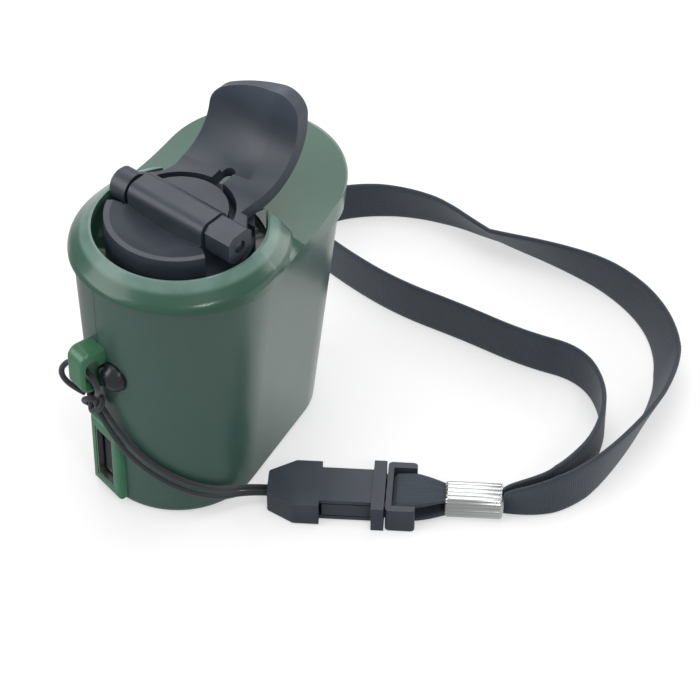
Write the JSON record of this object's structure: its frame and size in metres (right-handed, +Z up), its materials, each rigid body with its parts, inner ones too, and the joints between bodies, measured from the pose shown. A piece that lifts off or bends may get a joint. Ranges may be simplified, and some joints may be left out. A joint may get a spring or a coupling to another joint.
{
  "type": "hand crank phone charger",
  "caption": "Pocket hand crank generator with a fold-up finger crank, a power socket and a wrist strap on a side release buckle, for charging a phone by hand.",
  "frame": {"origin": "on the crank axis, at the plane of the flat base", "axes": "+Z up along the crank axis, +X along the housing towards its far end, away from the power socket, +Y to the rear shell's side"},
  "size_m": [0.1154, 0.1013, 0.0814],
  "materials": {
    "body_green": "satin",
    "cover_green": "glossy",
    "bezel_green": "glossy",
    "plated_steel": "bright plated",
    "steel": "machined",
    "white_insulator": "moulded",
    "gold_contact": "plated",
    "board_green": "solder resist",
    "capacitor_sleeve": "sleeve",
    "chip_black": "moulded",
    "black_gloss": "glossy",
    "lamp_clear": "clear",
    "black_plastic": "satin",
    "gear_nylon": "natural",
    "copper_winding": "enamelled wire",
    "brass_pinion": "cut",
    "cord_black": "braided",
    "webbing_grey": "woven",
    "crimp_metal": "pressed"
  },
  "bodies": {
    "housing": {"front_shell": "body_green", "rear_shell": "body_green", "shell_screws": "steel", "top_cover": "cover_green", "port_bezel": "bezel_green", "usb_shell": "plated_steel", "usb_tongue": "white_insulator", "usb_contacts": "gold_contact", "circuit_board": "board_green", "board_capacitors": "capacitor_sleeve", "board_chip": "chip_black", "board_inductor": "chip_black", "lamp_lens": "black_gloss", "lamp_bulb": "lamp_clear", "idler_axle": "steel", "gear_plate": "black_plastic", "plate_screws": "steel", "generator_can": "plated_steel", "generator_stator": "copper_winding", "lanyard_eye": "cord_black", "lanyard_knot": "cord_black", "lanyard_cord_low": "cord_black", "lanyard_cord_high": "cord_black", "buckle_socket": "black_plastic"},
    "crank": {"crank_hub": "black_plastic", "crank_shaft": "steel", "crank_gear": "gear_nylon", "shaft_clip": "steel"},
    "crank_lever": {"crank_arm": "black_plastic", "hinge_pin": "steel"},
    "idler": {"idler_gear": "gear_nylon"},
    "generator_armature": {"generator_rotor": "steel", "generator_pinion": "brass_pinion"},
    "strap_plug": {"buckle_plug": "black_plastic", "webbing_fold": "webbing_grey", "strap_crimp": "crimp_metal", "webbing_loop": "webbing_grey"}
  },
  "joints": [
    {"name": "crank_spin", "type": "hinge", "parent": "housing", "child": "crank", "pos_m": [0, 0, 0.0555], "axis": [0, 0, 1], "continuous": true},
    {"name": "lever_fold", "type": "hinge", "parent": "crank", "child": "crank_lever", "pos_m": [0, 0, 0.063], "axis": [-0.1392, -0.9903, 0], "range_deg": [0, 140]},
    {"name": "idler_spin", "type": "hinge", "parent": "housing", "child": "idler", "pos_m": [0.0155, 0.00698, 0.0433], "axis": [0, 0, 1], "continuous": true},
    {"name": "generator_spin", "type": "hinge", "parent": "housing", "child": "generator_armature", "pos_m": [0.024, 0, 0.0286], "axis": [0, 0, 1], "continuous": true},
    {"name": "buckle_release", "type": "slide", "parent": "housing", "child": "strap_plug", "axis": [0.4726, -0.8813, 0], "range_m": [0, 0.016]}
  ],
  "couplings": [
    {"joint": "idler_spin", "follows": "crank_spin", "ratio": -4.6667},
    {"joint": "generator_spin", "follows": "crank_spin", "ratio": 12.444}
  ]
}
